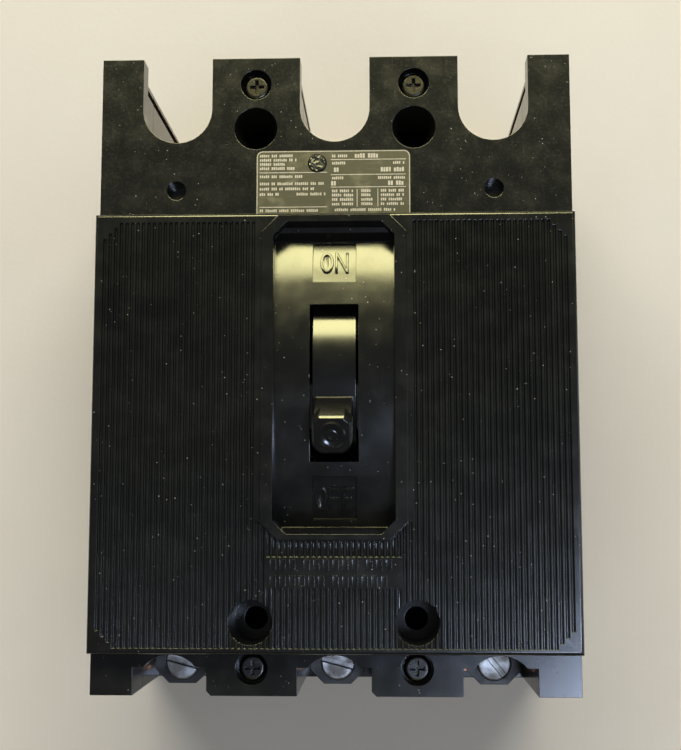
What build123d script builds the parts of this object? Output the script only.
"""Three-pole moulded-case circuit breaker: case, toggle mechanism, trip unit, arc chutes and wire lugs.

Millimetres. X runs across the poles, Y from the load end to the line end, Z from the back to the front.
The origin is the middle of the back face. The toggle rests at OFF, so the contacts are open.
"""

from build123d import *
import math
import os

# ---- driving dimensions: case ----
POLE_PITCH = 34.925
POLES = {"left": -POLE_PITCH, "center": 0.0, "right": POLE_PITCH}
CASE_HALF = 51.8
LOAD_END_Y = -69.5
SHELF_END_Y = 69.5
WALL_END_Y = 65.3
PARTING_Z = 53.65
SHELF_Z = 65.25
FACE_Z = 69.65
BLOCK_Y0, BLOCK_Y1 = -60.5, 33.2
SHELF_THICK = 5.1
FLOOR_Z = 5.0
ROOF_Z = FACE_Z - 5.15
CAVITY_HALF = 14.0
CAVITY_Y0, CAVITY_Y1 = -49.5, 40.0
LINE_CHAMBER_Y0 = 44.0
LINE_HALF = 7.7
LOAD_HALF = 7.85
LOAD_LEDGE_Z = 33.0
BARRIER_X = POLE_PITCH / 2
U_END_Y = 50.3
LOAD_OPEN_Y = -63.6
NOTCH_R, NOTCH_Y = 7.2, -68.2
GROOVE_Y0, GROOVE_Y1, GROOVE_DEEP = 63.0, 64.3, 1.1

# ---- handle pocket ----
POCKET_HALF, POCKET_Y0, POCKET_Y1 = 13.0, -35.6, 31.2
POCKET_CORNER = 2.9
RIM_HALF, RIM_Y0, RIM_Y1 = 15.6, -36.85, 32.7
RIM_CORNER, RIM_PROUD = 3.7, 0.3
DOME_R, DOME_Z, DOME_THICK = 95.0, -26.1, 2.0
SLOT_HALF, SLOT_Y0, SLOT_Y1 = 5.2, -20.35, 13.4
PLATE_HALF, PLATE_DEEP = 4.7, 0.6
LETTER_HIGH, LETTER_STROKE, LETTER_GAP = 4.6, 0.5, 0.4
LETTER_WIDE = {"ON": 2.85, "OFF": 2.5}
ON_PLATE_Y0, ON_PLATE_Y1 = 18.5, 27.4
OFF_PLATE_Y0, OFF_PLATE_Y1 = -32.7, -23.5
NOTICE_HALF, NOTICE_Y0, NOTICE_Y1 = 14.35, -46.95, -40.35

# ---- ribs on the raised block ----
RIB_COUNT, RIB_FIELD_HALF = 84, 49.6
RIB_PITCH = 2 * RIB_FIELD_HALF / (RIB_COUNT - 1)
RIB_Y0, RIB_Y1 = -59.25, 31.3
RIB_DEEP, RIB_TOP, RIB_ROOT = 0.45, 0.72, 0.36

# ---- fasteners and mounting holes ----
LINE_SCREW_Y, LOAD_SCREW_Y = 63.4, -63.85
LINE_MOUNT_Y, LOAD_MOUNT_Y = 53.4, -53.9
MOUNT_R, MOUNT_CONE_R, MOUNT_CONE_DEEP = 2.5, 4.75, 8.5
LOAD_SINK_R, LOAD_SINK_DEEP = 4.64, 13.0
BLIND_R, BLIND_DEEP, BLIND_Y = 2.1, 3.0, 39.45
COVER_SCREW_R, COVER_HEAD_R, COVER_SINK_R = 1.5, 2.9, 3.4
PLUG_X, PLUG_Y, PLUG_R = -3.8, 45.3, 2.0
LABEL_HALF, LABEL_X, LABEL_Y0, LABEL_Y1 = 16.95, -0.3, 33.6, 48.2
LABEL_THICK, LABEL_CORNER = 0.2, 1.4

# ---- terminals ----
STRAP_HALF, STRAP_THICK = 6.35, 2.4
LINE_STRAP_Z, LINE_STRAP_END, LINE_STRAP_IN = 8.0, 65.0, 14.0
LINE_HOLE_Y, LINE_HOLE_R = 58.0, 2.4
CONTACT_SHELF_Z = 16.8
LUG_Y0, LUG_Y1, LUG_HALF, LUG_CHAMFER = -69.2, -56.2, 6.15, 3.1
LUG_TOP_Z = 47.6
WIRE_R, WIRE_Z = 3.2, 39.6
THREAD_Z, DOG_R, DOG_Z = 42.2, 1.7, 42.85
LUG_SCREW_Y, LUG_SCREW_R, LUG_SCREW_TOP = -64.5, 3.75, 48.2
STEP_Y = -52.0
PARTITION_Y0, PARTITION_Y1 = -55.4, -53.4
BASE_JOINS_Y = (-51.0, 42.0)
COVER_JOINS_Y = (-48.0, 42.4)
FOOT_CHAMFER = 1.0

# ---- mechanism ----
PIVOT_Y, PIVOT_Z = 0.0, 39.0
OFF_TILT = 21.0
SHIELD_R0, SHIELD_R1, SHIELD_HALF = 26.2, 28.5, 4.7
NUB_FACE_R, NUB_HALF = 43.4, 4.15
BAR_Y, BAR_Z, BAR_R = -12.0, 21.5, 5.0
ARM_OPEN = 24.0
ARM_LENGTH, ARM_HALF, ARM_THICK = 37.5, 2.9, 3.4
DRIVE_R = 11.0
LINK_PIN_Y, LINK_PIN_Z = 0.0, 45.0
LOWER_LINK, UPPER_LINK = 12.0, 11.7
CRADLE_PIN_Y, CRADLE_PIN_Z = 13.0, 43.0
LATCH_PIN_Y, LATCH_PIN_Z = -18.0, 35.0
TRIP_Y, TRIP_Z, TRIP_R = -33.0, 44.0, 3.0
FRAME_X0, FRAME_X1 = 9.2, 10.4
FORK_R = 2.0
SPRING_X, ANCHOR_R = 5.9, 19.0
BIMETAL_Y0, BIMETAL_Y1, BIMETAL_TOP = -44.6, -43.4, 50.0
ARMATURE_Y, ARMATURE_Z = -38.0, 33.0
FIT = 0.05
BIG = 200.0


def box(x0, x1, y0, y1, z0, z1):
    """Box between two corners."""
    return Pos((x0 + x1) / 2, (y0 + y1) / 2, (z0 + z1) / 2) * Box(x1 - x0, y1 - y0, z1 - z0)


def rod_x(y, z, radius, x0, x1):
    """Cylinder along X."""
    return Pos((x0 + x1) / 2, y, z) * Rot(0, 90, 0) * Cylinder(radius, x1 - x0)


def rod_y(x, z, radius, y0, y1):
    """Cylinder along Y."""
    return Pos(x, (y0 + y1) / 2, z) * Rot(90, 0, 0) * Cylinder(radius, y1 - y0)


def rod_z(x, y, radius, z0, z1):
    """Cylinder along Z."""
    return Pos(x, y, (z0 + z1) / 2) * Cylinder(radius, z1 - z0)


def plate_x(points, x0, x1):
    """Prism along X from an outline of (y, z) points."""
    return extrude(Plane.YZ.offset(x0) * Polygon(*points, align=None), amount=x1 - x0, dir=(1, 0, 0))


def plate_z(points, z0, z1):
    """Prism along Z from an outline of (x, y) points."""
    return extrude(Plane.XY.offset(z0) * Polygon(*points, align=None), amount=z1 - z0, dir=(0, 0, 1))


def octagon(half, y0, y1, corner):
    """Outline of a rectangle with four 45-degree corners."""
    return [
        (half, y0 + corner), (half, y1 - corner), (half - corner, y1), (corner - half, y1),
        (-half, y1 - corner), (-half, y0 + corner), (corner - half, y0), (half - corner, y0),
    ]


def turned(shape, y, z, degrees):
    """Turn a shape about the X-parallel axis through (y, z); positive tips the top towards the load end."""
    return Pos(0, y, z) * Rot(degrees, 0, 0) * Pos(0, -y, -z) * shape


def turned_point(y, z, about_y, about_z, degrees):
    """Where (y, z) goes when turned about an axis along X."""
    c, s = math.cos(math.radians(degrees)), math.sin(math.radians(degrees))
    dy, dz = y - about_y, z - about_z
    return about_y + c * dy - s * dz, about_z + s * dy + c * dz


def knee(drive):
    """Knee of the toggle, on the load side of the line from the drive pin to the link pin."""
    gap_y, gap_z = LINK_PIN_Y - drive[0], LINK_PIN_Z - drive[1]
    gap = math.hypot(gap_y, gap_z)
    along = (LOWER_LINK**2 - UPPER_LINK**2 + gap**2) / (2 * gap)
    off = math.sqrt(LOWER_LINK**2 - along**2)
    return (
        drive[0] + (along * gap_y - off * gap_z) / gap,
        drive[1] + (along * gap_z + off * gap_y) / gap,
    )


DRIVE_OFF = turned_point(BAR_Y + DRIVE_R, BAR_Z, BAR_Y, BAR_Z, ARM_OPEN)
KNEE_OFF = knee(DRIVE_OFF)


def link(start, end, radius, x0, x1, start_hole, end_hole):
    """Flat link with round ends and a hole at each end."""
    length = math.hypot(end[0] - start[0], end[1] - start[1])
    angle = math.degrees(math.atan2(end[1] - start[1], end[0] - start[0]))
    bar = box(x0, x1, start[0], start[0] + length, start[1] - radius, start[1] + radius)
    bar = turned(bar, start[0], start[1], angle)
    bar = bar + rod_x(*start, radius, x0, x1) + rod_x(*end, radius, x0, x1)
    return bar - rod_x(*start, start_hole, x0 - 1, x1 + 1) - rod_x(*end, end_hole, x0 - 1, x1 + 1)


def mount_points():
    """Centres of the four through holes for mounting."""
    return [(s * BARRIER_X, y) for y in (LINE_MOUNT_Y, LOAD_MOUNT_Y) for s in (-1, 1)]


def cover_screw_points():
    """Centres of the four cover screws."""
    return [(s * BARRIER_X, y) for y in (LINE_SCREW_Y, LOAD_SCREW_Y) for s in (-1, 1)]


def wall_grooves(x, z0, z1):
    """Vertical barrier grooves in both walls of a line chamber."""
    return box(x - LINE_HALF - GROOVE_DEEP, x + LINE_HALF + GROOVE_DEEP, GROOVE_Y0, GROOVE_Y1, z0, z1)


def partition(x, z0, z1):
    """Wall behind a lug that closes the mechanism space off."""
    return box(x - LOAD_HALF, x + LOAD_HALF, PARTITION_Y0, PARTITION_Y1, z0, z1)


def butted(body, joins):
    """Cut a moulding across Y into lengths that touch, so that each is a simple solid."""
    ends = [-BIG, *joins, BIG]
    return [(body & box(-BIG, BIG, y0, y1, -1, BIG)).solid() for y0, y1 in zip(ends, ends[1:])]


def base():
    """Moulded tray that carries everything, as three butted lengths: load end, mechanism space, line end."""
    body = box(-CASE_HALF, CASE_HALF, LOAD_END_Y, WALL_END_Y, 0, PARTING_Z)
    cuts = []
    pads = []
    for x in POLES.values():
        cuts.append(box(x - CAVITY_HALF, x + CAVITY_HALF, CAVITY_Y0, CAVITY_Y1, FLOOR_Z, BIG))
        cuts.append(box(x - LINE_HALF, x + LINE_HALF, LINE_CHAMBER_Y0, BIG, FLOOR_Z, BIG))
        cuts.append(box(x - LOAD_HALF, x + LOAD_HALF, -BIG, CAVITY_Y0 + 1, LOAD_LEDGE_Z, BIG))
        cuts.append(box(x - LOAD_HALF, x + LOAD_HALF, STEP_Y, CAVITY_Y0 + 1, FLOOR_Z, BIG))
        slot_top = LINE_STRAP_Z + STRAP_THICK + FIT
        cuts.append(box(x - STRAP_HALF, x + STRAP_HALF, CAVITY_Y1 - 1, LINE_CHAMBER_Y0 + 1, LINE_STRAP_Z, slot_top))
        cuts.append(wall_grooves(x, FLOOR_Z, BIG))
        pads.append(box(x - STRAP_HALF, x + STRAP_HALF, LINE_STRAP_IN, WALL_END_Y, FLOOR_Z, LINE_STRAP_Z))
        pads.append(box(x - STRAP_HALF, x + STRAP_HALF, STEP_Y, -41.0, FLOOR_Z, LINE_STRAP_Z))
        pads.append(partition(x, LOAD_LEDGE_Z, PARTING_Z) - load_terminal(x))
    body = body - cuts + pads
    for s in (-1, 1):
        x0, x1 = sorted((s * CAVITY_HALF, s * (POLE_PITCH - CAVITY_HALF)))
        bar_slot = rod_x(BAR_Y, BAR_Z, BAR_R + 0.3, x0, x1)
        bar_slot += box(x0, x1, BAR_Y - BAR_R - 0.3, BAR_Y + BAR_R + 0.3, BAR_Z, BIG)
        trip_slot = rod_x(TRIP_Y, TRIP_Z, TRIP_R + 0.2, x0, x1)
        trip_slot += box(x0, x1, TRIP_Y - TRIP_R - 0.2, TRIP_Y + TRIP_R + 0.2, TRIP_Z, BIG)
        body -= [bar_slot, trip_slot]
    body -= [rod_z(x, y, MOUNT_R, -1, BIG) for x, y in mount_points()]
    body -= [rod_z(x, y, COVER_SCREW_R, PARTING_Z - 16, BIG) for x, y in cover_screw_points()]
    body -= [rod_z(x, y, 1.2, 1.0, FLOOR_Z + 1) for x, y in frame_screw_points()]
    return butted(body, BASE_JOINS_Y)


def frame_screw_points():
    """Centres of the four screws that hold the side frames to the floor."""
    return [(s * 12.1, y) for y in (-22.0, 8.0) for s in (-1, 1)]


def dome_solid(radius, half):
    """Round body whose top is the pocket floor."""
    return rod_x(0, DOME_Z, radius, -half, half)


def pocket_walls(z0, z1):
    """Prism of the pocket's octagonal mouth."""
    return plate_z(octagon(POCKET_HALF, POCKET_Y0, POCKET_Y1, POCKET_CORNER), z0, z1)


def pocket_cut():
    """The pocket: octagonal mouth, stepped upper wall and sloped lower wall, down to the domed floor."""
    side = [
        (POCKET_Y1, BIG), (POCKET_Y1, FACE_Z), (30.4, 67.4), (29.3, 67.0), (27.5, 64.2), (27.5, 50.0),
        (-33.6, 50.0), (-33.6, 59.0), (POCKET_Y0, FACE_Z), (POCKET_Y0, BIG),
    ]
    mouth = pocket_walls(50.0, FACE_Z + 5)
    return mouth & plate_x(side, -POCKET_HALF, POCKET_HALF) - dome_solid(DOME_R, POCKET_HALF + 1)


def letter_outlines(word, y_mid):
    """Plain block letters of one word, as prisms through the recessed plate."""
    high, wide, stroke = LETTER_HIGH, LETTER_WIDE[word], LETTER_STROKE
    pitch = wide + LETTER_GAP
    start = -pitch * (len(word) - 1) / 2
    solids = []
    for place, letter in enumerate(word):
        x = start + place * pitch
        left, right = x - wide / 2, x + wide / 2
        low, top = y_mid - high / 2, y_mid + high / 2
        if letter == "O":
            oval = Ellipse(wide / 2, high / 2) - Ellipse(wide / 2 - stroke, high / 2 - stroke)
            solids.append(extrude(Pos(x, y_mid, 50) * oval, amount=FACE_Z - 50, dir=(0, 0, 1)))
        elif letter == "N":
            solids.append(box(left, left + stroke, low, top, 50, FACE_Z))
            solids.append(box(right - stroke, right, low, top, 50, FACE_Z))
            slope = [(left, top), (right - stroke, low), (right, low), (left + stroke, top)]
            solids.append(plate_z(slope, 50, FACE_Z))
        else:
            solids.append(box(left, left + stroke, low, top, 50, FACE_Z))
            solids.append(box(left, right, top - stroke, top, 50, FACE_Z))
            solids.append(box(left, right - 0.5, y_mid - stroke / 2, y_mid + stroke / 2, 50, FACE_Z))
    return solids


def position_plate(word, y0, y1):
    """Cutter and raised letters of one recessed position plate in the pocket floor."""
    prism = box(-PLATE_HALF, PLATE_HALF, y0, y1, 50, FACE_Z)
    cutter = prism & (dome_solid(DOME_R + 0.5, 20) - dome_solid(DOME_R - PLATE_DEEP, 21))
    letters = letter_outlines(word, (y0 + y1) / 2)
    joined = letters[0].fuse(*letters[1:])
    raised = joined & (dome_solid(DOME_R - 0.1, 20) - dome_solid(DOME_R - PLATE_DEEP - 0.2, 21))
    return cutter, raised


def rib_spans(x, corner_steps):
    """Stretches of Y that one groove covers, clear of the pocket rim and the plain notice panel."""
    start, end = RIB_Y0 + corner_steps * RIB_PITCH, RIB_Y1 - corner_steps * RIB_PITCH
    margin = RIB_TOP / 2 + 0.25
    if abs(x) > RIM_HALF + margin:
        return [(start, end)]
    corner = max(0.0, abs(x) - (RIM_HALF - RIM_CORNER))
    above_notice = (NOTICE_Y1, RIM_Y0 + corner - 0.3)
    if abs(x) > NOTICE_HALF:
        return [(start, above_notice[1])]
    return [(start, NOTICE_Y0), above_notice]


def rib_grooves():
    """Cutters for the grooves between the ribs, shorter in steps at the four corners."""
    cutters = []
    for n in range(RIB_COUNT):
        x = -RIB_FIELD_HALF + n * RIB_PITCH
        steps = max(0, 3 - min(n, RIB_COUNT - 1 - n))
        root, top = RIB_ROOT / 2, RIB_TOP / 2
        bottom = FACE_Z - RIB_DEEP
        section = Polygon((x - root, bottom), (x + root, bottom), (x + top + 0.1, FACE_Z + 0.25),
                          (x - top - 0.1, FACE_Z + 0.25), align=None)
        for y0, y1 in rib_spans(x, steps):
            cutters.append(extrude(Plane.XZ.offset(-y0) * section, amount=y1 - y0, dir=(0, 1, 0)))
    return cutters


def cover_cavities():
    """Everything hollowed out of the cover from below."""
    cuts = []
    shelf_under = SHELF_Z - SHELF_THICK
    for name, x in POLES.items():
        cuts.append(box(x - LINE_HALF, x + LINE_HALF, LINE_CHAMBER_Y0, BIG, 0, shelf_under))
        cuts.append(wall_grooves(x, 0, shelf_under))
        cuts.append(box(x - CAVITY_HALF, x + CAVITY_HALF, 30, CAVITY_Y1, 0, SHELF_Z - 6.5))
        cuts.append(box(x - LOAD_HALF, x + LOAD_HALF, -BIG, PARTITION_Y0, 0, shelf_under))
        cuts.append(box(x - LOAD_HALF, x + LOAD_HALF, PARTITION_Y1, CAVITY_Y0 + 1, 0, shelf_under))
        cuts.append(box(x - LOAD_HALF, x + LOAD_HALF, -BIG, LOAD_OPEN_Y, 0, BIG))
        cuts.append(rod_z(x, NOTCH_Y, NOTCH_R, 0, BIG) & box(x - LOAD_HALF, x + LOAD_HALF, -BIG, 0, 0, BIG))
        cuts.append(box(x - LINE_HALF, x + LINE_HALF, U_END_Y + LINE_HALF, BIG, 0, BIG))
        cuts.append(rod_z(x, U_END_Y + LINE_HALF, LINE_HALF, shelf_under - 1, BIG))
        if name == "center":
            cuts.append(box(-CAVITY_HALF, CAVITY_HALF, CAVITY_Y0, POCKET_Y0 - 3, 0, ROOF_Z))
            under = box(-CAVITY_HALF, CAVITY_HALF, POCKET_Y0 - 3.1, 30.1, 0, BIG)
            cuts.append(under & dome_solid(DOME_R - DOME_THICK, CAVITY_HALF))
        else:
            cuts.append(box(x - CAVITY_HALF, x + CAVITY_HALF, CAVITY_Y0, 30.1, 0, ROOF_Z))
    cuts.append(box(-BIG, BIG, WALL_END_Y, BIG, 0, shelf_under))
    for x in (LOAD_HALF - POLE_PITCH, LOAD_HALF):
        corner = [(x, LOAD_END_Y), (x + FOOT_CHAMFER, LOAD_END_Y), (x, LOAD_END_Y + FOOT_CHAMFER)]
        cuts.append(plate_z(corner, 0, BIG))
    return cuts


def cover_holes():
    """Screw, mounting and blind holes in the cover."""
    cuts = []
    for x, y in cover_screw_points():
        cuts.append(rod_z(x, y, COVER_SCREW_R + 0.1, 0, BIG))
        cuts.append(rod_z(x, y, COVER_SINK_R, SHELF_Z - 3.5, BIG))
    for x, y in mount_points():
        cuts.append(rod_z(x, y, MOUNT_R, 0, BIG))
        if y > 0:
            cone = Cone(MOUNT_R, MOUNT_CONE_R, MOUNT_CONE_DEEP)
            cuts.append(Pos(x, y, SHELF_Z - MOUNT_CONE_DEEP / 2) * cone)
        else:
            cuts.append(rod_z(x, y, LOAD_SINK_R, FACE_Z - LOAD_SINK_DEEP, BIG))
    for s in (-1, 1):
        cuts.append(rod_z(s * POLE_PITCH, BLIND_Y, BLIND_R, SHELF_Z - BLIND_DEEP, BIG))
    cuts.append(rod_z(PLUG_X, PLUG_Y, PLUG_R, SHELF_Z - 2.5, BIG))
    return cuts


def cover():
    """Front moulding with shelf, ribbed block, handle pocket and terminal cut-outs, as three butted lengths."""
    body = box(-CASE_HALF, CASE_HALF, LOAD_END_Y, SHELF_END_Y, PARTING_Z, SHELF_Z)
    body += box(-CASE_HALF, CASE_HALF, BLOCK_Y0, BLOCK_Y1, SHELF_Z, FACE_Z)
    block_top = body.edges().filter_by(GeomType.LINE).group_by(Axis.Z)[-1]
    body = fillet(block_top, 0.8)
    rim = plate_z(octagon(RIM_HALF, RIM_Y0, RIM_Y1, RIM_CORNER), FACE_Z - 1, FACE_Z + RIM_PROUD)
    body += rim
    body -= cover_cavities() + cover_holes()
    body -= pocket_cut()
    body -= box(-SLOT_HALF, SLOT_HALF, SLOT_Y0, SLOT_Y1, 50, BIG)
    on_cut, on_raised = position_plate("ON", ON_PLATE_Y0, ON_PLATE_Y1)
    off_cut, off_raised = position_plate("OFF", OFF_PLATE_Y0, OFF_PLATE_Y1)
    body = body - [on_cut, off_cut] + [on_raised, off_raised]
    return butted(body - rib_grooves(), COVER_JOINS_Y)


def rating_label():
    """Thin foil label on the shelf, with its two far corners rounded and a hole for the plug."""
    x0, x1 = LABEL_X - LABEL_HALF, LABEL_X + LABEL_HALF
    foil = box(x0, x1, LABEL_Y0, LABEL_Y1, SHELF_Z, SHELF_Z + LABEL_THICK)
    foil = fillet(foil.edges().filter_by(Axis.Z).group_by(Axis.Y)[-1], LABEL_CORNER)
    for x, y in mount_points()[:2]:
        foil -= rod_z(x, y, MOUNT_CONE_R + 0.4, 0, BIG)
    return foil - rod_z(PLUG_X, PLUG_Y, PLUG_R + 0.1, 0, BIG)


def cover_plug():
    """Round plug pressed into the cover through the label."""
    plug = rod_z(PLUG_X, PLUG_Y, PLUG_R, SHELF_Z - 2.5, SHELF_Z + 0.6)
    return chamfer(plug.edges().group_by(Axis.Z)[-1], 0.25)


def cover_screws(y):
    """Two cover screws with a domed head and a crossed recess."""
    screws = []
    seat = SHELF_Z - 3.5
    for s in (-1, 1):
        x = s * BARRIER_X
        head = rod_z(x, y, COVER_HEAD_R, seat, seat + 1.9)
        head = fillet(head.edges().group_by(Axis.Z)[-1], 0.9)
        recess = box(x - 1.6, x + 1.6, y - 0.35, y + 0.35, seat + 0.8, BIG)
        recess += box(x - 0.35, x + 0.35, y - 1.6, y + 1.6, seat + 0.8, BIG)
        screws.append(head + rod_z(x, y, COVER_SCREW_R, PARTING_Z - 15, seat) - recess)
    return screws


def handle():
    """Toggle: curved shield, neck and nub in one moulding."""
    ring = rod_x(PIVOT_Y, PIVOT_Z, SHIELD_R1, -SHIELD_HALF, SHIELD_HALF)
    ring -= rod_x(PIVOT_Y, PIVOT_Z, SHIELD_R0, -SHIELD_HALF - 1, SHIELD_HALF + 1)
    fan = [(PIVOT_Y, PIVOT_Z)]
    for degrees in (-66, 0, 60):
        turn = math.radians(degrees)
        fan.append((PIVOT_Y + 90 * math.sin(turn), PIVOT_Z + 90 * math.cos(turn)))
    ring = ring & plate_x(fan, -SHIELD_HALF, SHIELD_HALF)
    foot = box(-SHIELD_HALF, SHIELD_HALF, -5, 5, PIVOT_Z + 22.7, PIVOT_Z + 27.0)
    neck_side = [(-3.9, 26), (3.9, 26), (3.4, 38.2), (-3.4, 38.2)]
    neck = plate_x([(y, PIVOT_Z + z) for y, z in neck_side], -3.9, 3.9)
    head = box(-NUB_HALF, NUB_HALF, -NUB_HALF, NUB_HALF, PIVOT_Z + 37.6, PIVOT_Z + NUB_FACE_R)
    upright = head.edges().filter_by(Axis.Z)
    head = chamfer(upright.group_by(Axis.Y)[-1], 1.5)
    head = fillet(head.edges().filter_by(Axis.Z).group_by(Axis.Y)[0], 2.6)
    head = chamfer(head.faces().sort_by(Axis.Z)[-1].edges(), 0.6)
    upright_toggle = ring + foot + neck + head
    return turned(upright_toggle, PIVOT_Y, PIVOT_Z, OFF_TILT)


def handle_yoke():
    """Steel yoke under the toggle: two legs from the pivot pins and a bridge."""
    parts = box(-8.7, 8.7, -5, 5, PIVOT_Z + 21.5, PIVOT_Z + 22.7)
    for s in (-1, 1):
        x0, x1 = sorted((s * 7.5, s * 8.7))
        leg = plate_x([(-4, 0), (4, 0), (5, 22), (-5, 22)], x0, x1)
        parts += Pos(0, PIVOT_Y, PIVOT_Z) * leg
        parts += rod_x(PIVOT_Y, PIVOT_Z, 4, x0, x1)
        parts -= rod_x(PIVOT_Y, PIVOT_Z, 2.0 + FIT, x0 - 1, x1 + 1)
    parts -= rod_x(PIVOT_Y, PIVOT_Z + ANCHOR_R, 1.0, -10, 10)
    return turned(parts, PIVOT_Y, PIVOT_Z, OFF_TILT)


def spring_anchor_pin():
    """Pin across the yoke that the main springs hang from."""
    y, z = turned_point(PIVOT_Y, PIVOT_Z + ANCHOR_R, PIVOT_Y, PIVOT_Z, OFF_TILT)
    return rod_x(y, z, 1.0, -8.7, 8.7)


def main_springs():
    """Two close-wound extension springs from the anchor pin to the knee pin."""
    top = turned_point(PIVOT_Y, PIVOT_Z + ANCHOR_R, PIVOT_Y, PIVOT_Z, OFF_TILT)
    length = math.hypot(top[0] - KNEE_OFF[0], top[1] - KNEE_OFF[1])
    tilt = math.degrees(math.atan2(top[0] - KNEE_OFF[0], top[1] - KNEE_OFF[1]))
    springs = []
    for s in (-1, 1):
        coil = Cylinder(1.05, length - 5.0)
        turns = int((length - 5.0) / 0.6)
        for n in range(turns):
            coil += Pos(0, 0, (n - (turns - 1) / 2) * 0.6) * Torus(1.05, 0.29)
        for end in (-1, 1):
            eye = Rot(0, 90, 0) * (Cylinder(1.55, 0.5) - Cylinder(1.05, 1))
            coil += Pos(0, 0, end * (length / 2)) * eye
            coil += Pos(0, 0, end * (length / 2 - 1.9)) * Box(0.5, 0.6, 1.4)
        middle = ((top[0] + KNEE_OFF[0]) / 2, (top[1] + KNEE_OFF[1]) / 2)
        springs.append(Pos(s * SPRING_X, *middle) * Rot(-tilt, 0, 0) * coil)
    return springs


def side_frame(side):
    """Folded steel frame on one side of the mechanism."""
    outline = [(-25, FLOOR_Z), (11, FLOOR_Z), (16, 12), (16, 47), (-6, 47), (-22, 40), (-25, 30)]
    frame = plate_x(outline, FRAME_X0, FRAME_X1)
    for y in (-22.0, 8.0):
        frame += box(FRAME_X1, 13.9, y - 2.9, y + 2.9, FLOOR_Z, FLOOR_Z + 1.2)
        frame -= rod_z(12.1, y, 1.25, 0, 10)
    frame -= rod_x(BAR_Y, BAR_Z, BAR_R + FIT, 0, 20)
    frame -= rod_x(PIVOT_Y, PIVOT_Z, 2.0, 0, 20)
    frame -= rod_x(CRADLE_PIN_Y, CRADLE_PIN_Z, 1.5, 0, 20)
    frame -= rod_x(LATCH_PIN_Y, LATCH_PIN_Z, 1.2, 0, 20)
    return frame if side > 0 else mirror(frame, Plane.YZ)


def frame_screws():
    """Four pan-head screws for the side frames."""
    screws = []
    for x, y in frame_screw_points():
        head = rod_z(x, y, 1.6, FLOOR_Z + 1.2, FLOOR_Z + 2.6)
        slot = box(x - 2, x + 2, y - 0.3, y + 0.3, FLOOR_Z + 2.0, 20)
        screws.append(head + rod_z(x, y, 1.2, 1.0, FLOOR_Z + 1.2) - slot)
    return screws


def handle_pivot_pins():
    """Stub pins, one on each frame, that the yoke swings on."""
    return [rod_x(PIVOT_Y, PIVOT_Z, 2.0, *sorted((s * 7.3, s * FRAME_X1))) for s in (-1, 1)]


def frame_pin(y, z, radius):
    """Pin across both frames."""
    return rod_x(y, z, radius, -FRAME_X1, FRAME_X1)


def cradle():
    """Flat cradle held down by the latch at its load end."""
    outline = [(13.0, 40.2), (15.6, 43.0), (13.0, 46.0), (0, 48.0), (-14.8, 46.4), (-14.8, 43.6), (0, 41.8)]
    plate = plate_x(outline, -1.5, 1.5)
    plate -= rod_x(CRADLE_PIN_Y, CRADLE_PIN_Z, 1.5 + FIT, -5, 5)
    return plate - rod_x(LINK_PIN_Y, LINK_PIN_Z, 1.0, -5, 5)


def upper_links():
    """Pair of upper toggle links on either side of the cradle."""
    start = (LINK_PIN_Y, LINK_PIN_Z)
    return [link(start, KNEE_OFF, 2.1, *sorted((s * 1.8, s * 3.0)), 1.0 + FIT, 1.0) for s in (-1, 1)]


def lower_links():
    """Pair of lower toggle links, each with an open fork that reaches for the knee pin."""
    plates = []
    for s in (-1, 1):
        x0, x1 = sorted((s * 3.3, s * 4.5))
        plate = link(DRIVE_OFF, KNEE_OFF, FORK_R + 1.0, x0, x1, 1.0 + FIT, FORK_R)
        mouth = box(x0 - 1, x1 + 1, -FORK_R, FORK_R, 0, 8)
        dy, dz = KNEE_OFF[0] - DRIVE_OFF[0], KNEE_OFF[1] - DRIVE_OFF[1]
        opened = Pos(0, *KNEE_OFF) * Rot(math.degrees(math.atan2(dz, dy)) - 90, 0, 0) * mouth
        plates.append(plate - opened)
    return plates


def crossbar():
    """Moulded bar across the poles with a carrier block and window for each contact arm."""
    bar = rod_x(BAR_Y, BAR_Z, BAR_R, -46, 46)
    for x in POLES.values():
        bar += box(x - 6, x + 6, BAR_Y - 5.5, BAR_Y + 5.5, BAR_Z - 5.5, BAR_Z + 5.5)
    for x in POLES.values():
        half = ARM_THICK / 2
        bar -= box(x - ARM_HALF, x + ARM_HALF, BAR_Y - 9, BAR_Y + 9, BAR_Z - half, BAR_Z + half)
    return turned(bar, BAR_Y, BAR_Z, ARM_OPEN)


def contact_arm(x):
    """Copper arm through the carrier, tapered towards the contact."""
    half = ARM_THICK / 2
    tail, tip = BAR_Y - 9.0, BAR_Y + ARM_LENGTH
    outline = [(tail, -half), (tip, -half), (tip, half - 1.0), (tip - 4, half), (tail, half)]
    arm = plate_x([(y, BAR_Z + z) for y, z in outline], x - ARM_HALF, x + ARM_HALF)
    if x == 0:
        arm -= rod_x(BAR_Y + DRIVE_R, BAR_Z, 1.0, -5, 5)
    return turned(arm, BAR_Y, BAR_Z, ARM_OPEN)


def moving_contacts():
    """Silver contact pads under the arm tips."""
    top = BAR_Z - ARM_THICK / 2
    y = BAR_Y + ARM_LENGTH - 3.2
    return [turned(box(x - 2.5, x + 2.5, y - 2.4, y + 2.4, top - 1.4, top), BAR_Y, BAR_Z, ARM_OPEN)
            for x in POLES.values()]


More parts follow.
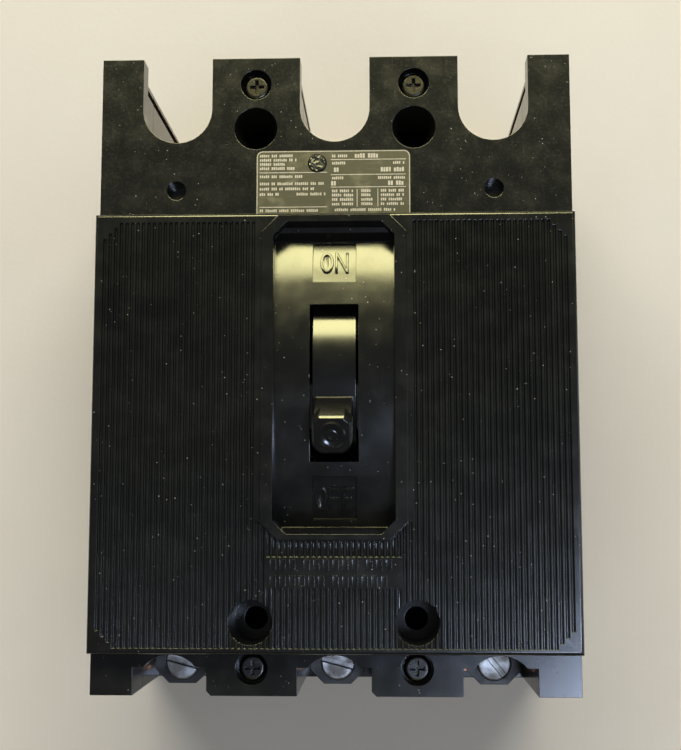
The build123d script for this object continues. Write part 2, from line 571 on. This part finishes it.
def line_terminal(x):
    """Copper line strap: tapped pad outside, folded back under the stationary contact inside."""
    end = LINE_STRAP_IN + 13.0
    low, high = LINE_STRAP_Z, CONTACT_SHELF_Z
    inner = LINE_STRAP_IN + STRAP_THICK
    outline = [
        (LINE_STRAP_END, low), (LINE_STRAP_END, low + STRAP_THICK), (inner, low + STRAP_THICK),
        (inner, high - STRAP_THICK), (end, high - STRAP_THICK), (end, high),
        (LINE_STRAP_IN, high), (LINE_STRAP_IN, low),
    ]
    strap = plate_x(outline, x - STRAP_HALF, x + STRAP_HALF)
    return strap - rod_z(x, LINE_HOLE_Y, LINE_HOLE_R, 0, 20)


def stationary_contacts():
    """Silver pads on the folded ends of the line straps."""
    y = BAR_Y + ARM_LENGTH - 3.2
    return [box(x - 2.8, x + 2.8, y - 2.6, y + 2.6, CONTACT_SHELF_Z, CONTACT_SHELF_Z + 1.5)
            for x in POLES.values()]


def arc_plates(x):
    """Stack of slotted steel plates that splits the arc."""
    plates = []
    for n in range(6):
        z = CONTACT_SHELF_Z + 2.2 + n * 3.6
        plate = box(x - 9.2, x + 9.2, 19.0, 38.0, z, z + 1.2)
        plate -= box(x - 4.2, x + 4.2, 0, 29.5, 0, 60)
        plates.append(plate - rod_z(x, 29.5, 4.2, 0, 60))
    return plates


def arc_chute_walls():
    """Fibre side walls that hold the arc plates, two in each pole."""
    walls = []
    for x in POLES.values():
        for s in (-1, 1):
            x0, x1 = sorted((x + s * 9.2, x + s * 10.4))
            walls.append(box(x0, x1, 18.0, 39.0, FLOOR_Z, 41.0))
    return walls


def load_terminal(x):
    """Copper load strap: under the lug, down the step and forward under the bimetal."""
    ledge, foot = LOAD_LEDGE_Z, LINE_STRAP_Z
    outline = [
        (LUG_Y0 + 1.5, ledge), (STEP_Y, ledge), (STEP_Y, foot), (-41.0, foot), (-41.0, foot + STRAP_THICK),
        (STEP_Y + STRAP_THICK, foot + STRAP_THICK), (STEP_Y + STRAP_THICK, ledge + STRAP_THICK),
        (LUG_Y0 + 1.5, ledge + STRAP_THICK),
    ]
    return plate_x(outline, x - 6.0, x + 6.0)


def bimetal(x):
    """Bimetal strip on a foot, standing in front of the trip bar."""
    foot = LINE_STRAP_Z + STRAP_THICK
    outline = [
        (-49.6, foot), (BIMETAL_Y1, foot), (BIMETAL_Y1, BIMETAL_TOP), (BIMETAL_Y0, BIMETAL_TOP),
        (BIMETAL_Y0, foot + 1.2), (-49.6, foot + 1.2),
    ]
    return plate_x(outline, x - 4, x + 4) - rod_y(x, 47.0, 1.0, -50, -40)


def calibration_screws():
    """Adjusting screws in the tips of the bimetals."""
    screws = []
    for x in POLES.values():
        screw = rod_y(x, 47.0, 1.0, -46.0, -37.0) + rod_y(x, 47.0, 1.7, -46.8, -45.6)
        screws.append(screw - box(x - 2, x + 2, -47, -46.4, 46.75, 47.25))
    return screws


def magnet_yoke(x):
    """U-shaped steel yoke round the bimetal, with ears for the armature."""
    web = box(x - 7.5, x + 7.5, -49.6, -47.9, 15, 29)
    body = web
    for s in (-1, 1):
        x0, x1 = sorted((x + s * 6.0, x + s * 7.5))
        body += box(x0, x1, -48.5, -40.2, 15, 29)
        body += box(x0, x1, -44.0, -40.2, 28, 35)
        body += box(x0, x1, -44.0, ARMATURE_Y + 1.6, 31.2, 35)
        body -= rod_x(ARMATURE_Y, ARMATURE_Z, 0.8 + FIT, x0 - 1, x1 + 1)
    return body


def armature(x):
    """Rocking steel armature: pole plate below its pin, push fingers above."""
    body = box(x - 5.4, x + 5.4, ARMATURE_Y - 0.6, ARMATURE_Y + 0.6, 16.5, 34.5)
    body += rod_x(ARMATURE_Y, ARMATURE_Z, 0.8, x - 7.5, x + 7.5)
    for s in (-1, 1):
        x0, x1 = sorted((x + s * 2.6, x + s * 5.0))
        body += box(x0, x1, ARMATURE_Y - 0.6, ARMATURE_Y + 0.6, 34, 49.5)
    return body


def trip_bar():
    """Moulded bar across the poles with a push arm in each pole and one finger for the latch."""
    bar = rod_x(TRIP_Y, TRIP_Z, TRIP_R, -46, 46)
    for x in POLES.values():
        bar += box(x - 5.5, x + 5.5, TRIP_Y - 3.0, TRIP_Y - 0.8, TRIP_Z, TRIP_Z + 7)
    return bar + box(6.0, 8.4, TRIP_Y, -27.6, TRIP_Z - 1.2, TRIP_Z + 1.2)


def trip_latch():
    """Latch lever: hook over the cradle tip, and a tail out to the trip bar finger."""
    outline = [(-20.0, 33.4), (-16.2, 33.4), (-16.6, 47.7), (-13.9, 47.7), (-13.9, 49.7), (-18.4, 49.7)]
    hook = plate_x(outline, -3, 3)
    body = hook + rod_x(LATCH_PIN_Y, LATCH_PIN_Z, 2.4, -3, 8.4)
    tail = [(-18.5, 33.2), (-17.5, 37.0), (-29.0, 42.3), (-29.0, 39.9)]
    body += plate_x(tail, 6.0, 8.4)
    return body - rod_x(LATCH_PIN_Y, LATCH_PIN_Z, 1.2 + FIT, -5, 12)


def flexible_braid(x):
    """Braided copper strap hanging from the arm's tail to the bimetal foot."""
    start = turned_point(BAR_Y - 9.0, BAR_Z, BAR_Y, BAR_Z, ARM_OPEN)
    points = [(start[0] - 0.2, start[1] - 0.6), (-25.0, 13.5), (-31.0, 9.6), (-37.6, 9.6), (-42.7, 13.2)]
    radii = [5.0, 5.5, 4.0]
    path = FilletPolyline(*[(x, y, z) for y, z in points], radius=radii)
    return sweep(Plane(path @ 0, x_dir=(1, 0, 0), z_dir=path % 0) * Rectangle(5.0, 1.4), path=path)


def lug(x):
    """Aluminium wire lug: octagonal front corners, wire bore and clamping screw thread."""
    front, back = LUG_Y0, LUG_Y1
    outline = [
        (x - LUG_HALF, back), (x - LUG_HALF, front + LUG_CHAMFER), (x - LUG_HALF + LUG_CHAMFER, front),
        (x + LUG_HALF - LUG_CHAMFER, front), (x + LUG_HALF, front + LUG_CHAMFER), (x + LUG_HALF, back),
    ]
    block = plate_z(outline, LOAD_LEDGE_Z + STRAP_THICK, LUG_TOP_Z)
    block -= rod_y(x, WIRE_Z, WIRE_R, front - 1, back - 1.5)
    return block - rod_z(x, LUG_SCREW_Y, LUG_SCREW_R + FIT, THREAD_Z, BIG)


def lug_screw(x):
    """Slotted clamping screw with a dog point; each pole's slot stands at its own angle."""
    body = rod_z(x, LUG_SCREW_Y, LUG_SCREW_R, DOG_Z + 1.75, LUG_SCREW_TOP)
    body = chamfer(body.edges().group_by(Axis.Z)[-1], 0.35)
    body += rod_z(x, LUG_SCREW_Y, DOG_R, DOG_Z, DOG_Z + 1.75)
    turn = {-1: -15.0, 0: -15.0, 1: -50.0}[round(x / POLE_PITCH)]
    slot = Pos(x, LUG_SCREW_Y, LUG_SCREW_TOP) * Rot(0, 0, turn) * Box(9.0, 1.2, 2.6)
    return body - slot


def named_parts():
    """Every node of the breaker."""
    parts = {
        "base": base(),
        "cover": cover(),
        "rating_label": rating_label(),
        "cover_plug": cover_plug(),
        "cover_screws_line": cover_screws(LINE_SCREW_Y),
        "cover_screws_load": cover_screws(LOAD_SCREW_Y),
        "handle": handle(),
        "handle_yoke": handle_yoke(),
        "handle_pivot_pins": handle_pivot_pins(),
        "spring_anchor_pin": spring_anchor_pin(),
        "main_springs": main_springs(),
        "side_frame_left": side_frame(-1),
        "side_frame_right": side_frame(1),
        "frame_screws": frame_screws(),
        "cradle": cradle(),
        "cradle_pin": frame_pin(CRADLE_PIN_Y, CRADLE_PIN_Z, 1.5),
        "link_pin": rod_x(LINK_PIN_Y, LINK_PIN_Z, 1.0, -3.4, 3.4),
        "upper_links": upper_links(),
        "lower_links": lower_links(),
        "knee_pin": rod_x(*KNEE_OFF, 1.0, -7.0, 7.0),
        "drive_pin": rod_x(*DRIVE_OFF, 1.0, -4.8, 4.8),
        "crossbar": crossbar(),
        "moving_contacts": moving_contacts(),
        "stationary_contacts": stationary_contacts(),
        "arc_chute_walls": arc_chute_walls(),
        "trip_latch": trip_latch(),
        "latch_pin": frame_pin(LATCH_PIN_Y, LATCH_PIN_Z, 1.2),
        "trip_bar": trip_bar(),
        "calibration_screws": calibration_screws(),
    }
    per_pole = {
        "line_terminal": line_terminal, "contact_arm": contact_arm, "flexible_braid": flexible_braid,
        "arc_plates": arc_plates, "bimetal": bimetal, "magnet_yoke": magnet_yoke, "armature": armature,
        "load_terminal": load_terminal, "lug": lug, "lug_screw": lug_screw,
    }
    for name, make in per_pole.items():
        for side, x in POLES.items():
            parts[f"{name}_{side}"] = make(x)
    return parts


os.makedirs("parts", exist_ok=True)
for node, shape in named_parts().items():
    solids = shape if isinstance(shape, list) else list(shape.solids())
    export_step(solids[0] if len(solids) == 1 else Compound(children=solids), f"parts/{node}.step")
